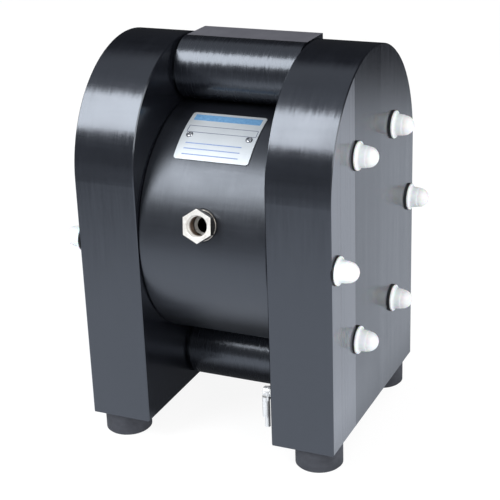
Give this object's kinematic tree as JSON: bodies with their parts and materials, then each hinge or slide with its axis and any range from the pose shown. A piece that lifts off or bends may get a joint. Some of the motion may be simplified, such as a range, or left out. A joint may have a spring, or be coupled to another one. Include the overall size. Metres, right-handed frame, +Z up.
{
  "type": "air operated diaphragm pump",
  "caption": "Compact air operated diaphragm pump: arched plastic side housings on rubber feet, round centre block, rear-ported manifolds, covered tie rods.",
  "frame": {"origin": "on the floor, at the centre of the four tapped feet, under the pump's axis", "axes": "+Z up, +X along the pump's axis towards the housing with the earth terminal, -Y to the front with the nameplate and the air inlet, +Y to the rear with the product ports and the exhaust"},
  "size_m": [0.188, 0.1841, 0.243],
  "materials": {
    "housing_pe": "black conductive polyethylene, milled, satin with fine tool marks",
    "block_pe": "black conductive polyethylene, turned, satin",
    "manifold_pe": "black conductive polyethylene, turned front and milled flats",
    "cover_white": "white moulded polypropylene, satin",
    "ring_black": "black plastic ring",
    "steel": "stainless steel, machined",
    "shaft_steel": "stainless steel, ground",
    "nickel": "nickel plated brass, turned",
    "seal_black": "black sealing ring",
    "rubber": "black rubber",
    "foot_rubber": "black moulded rubber",
    "plate": "anodised aluminium with a printed blue band and thin ruled lines, no lettering",
    "rivet": "aluminium",
    "ptfe": "white PTFE",
    "diaphragm": "PTFE faced rubber",
    "core": "aluminium, turned",
    "brass": "brass, turned",
    "spring_steel": "phosphated spring steel",
    "silencer": "white sintered porous plastic",
    "tinned": "tin plated copper and steel"
  },
  "bodies": {
    "pump": {"housing_left": "housing_pe", "housing_right": "housing_pe", "centre_block": "block_pe", "outlet_manifold": "manifold_pe", "inlet_manifold": "manifold_pe", "manifold_o_rings": "rubber", "backup_o_rings": "rubber", "tie_rods": "steel", "rod_nuts": "steel", "rod_washers": "steel", "cover_rings": "ring_black", "protective_covers": "cover_white", "foot_front_left": "foot_rubber", "foot_front_right": "foot_rubber", "foot_rear_left": "foot_rubber", "foot_rear_right": "foot_rubber", "foot_studs": "steel", "nameplate": "plate", "nameplate_rivets": "rivet", "air_inlet_adapter": "nickel", "air_inlet_seal": "seal_black", "air_inlet_washer": "nickel", "exhaust_silencer": "silencer", "air_valve_sleeve": "brass", "air_valve_end_caps": "brass", "air_valve_circlips": "spring_steel", "air_valve_o_rings": "rubber", "shaft_seals": "ptfe", "inlet_valve_seats": "ptfe", "outlet_valve_seats": "ptfe", "inlet_ball_stops": "ptfe", "outlet_ball_stops": "ptfe", "valve_plugs": "housing_pe", "plug_seals": "rubber", "earth_stud": "tinned", "earth_nuts": "tinned", "earth_washer": "tinned", "earth_lug": "tinned"},
    "shaft_assembly": {"diaphragm_shaft": "shaft_steel", "pin_screws": "steel", "diaphragm_core_left": "core", "diaphragm_core_right": "core", "diaphragm_left": "diaphragm", "diaphragm_right": "diaphragm"},
    "air_valve_spool_body": {"air_valve_spool": "shaft_steel"},
    "inlet_ball_left_body": {"inlet_ball_left": "ptfe"},
    "inlet_ball_right_body": {"inlet_ball_right": "ptfe"},
    "outlet_ball_left_body": {"outlet_ball_left": "ptfe"},
    "outlet_ball_right_body": {"outlet_ball_right": "ptfe"}
  },
  "joints": [
    {"name": "shaft_slide", "type": "slide", "parent": "pump", "child": "shaft_assembly", "axis": [1, 0, 0], "range_m": [-0.0065, 0.0065], "deforming": ["diaphragm_left", "diaphragm_right"]},
    {"name": "air_valve_slide", "type": "slide", "parent": "pump", "child": "air_valve_spool_body", "axis": [1, 0, 0], "range_m": [-0.004, 0.004]},
    {"name": "inlet_ball_left_lift", "type": "slide", "parent": "pump", "child": "inlet_ball_left_body", "axis": [0, 0, 1], "range_m": [0, 0.0045]},
    {"name": "inlet_ball_right_lift", "type": "slide", "parent": "pump", "child": "inlet_ball_right_body", "axis": [0, 0, 1], "range_m": [0, 0.0045]},
    {"name": "outlet_ball_left_lift", "type": "slide", "parent": "pump", "child": "outlet_ball_left_body", "axis": [0, 0, 1], "range_m": [0, 0.0045]},
    {"name": "outlet_ball_right_lift", "type": "slide", "parent": "pump", "child": "outlet_ball_right_body", "axis": [0, 0, 1], "range_m": [0, 0.0045]}
  ]
}
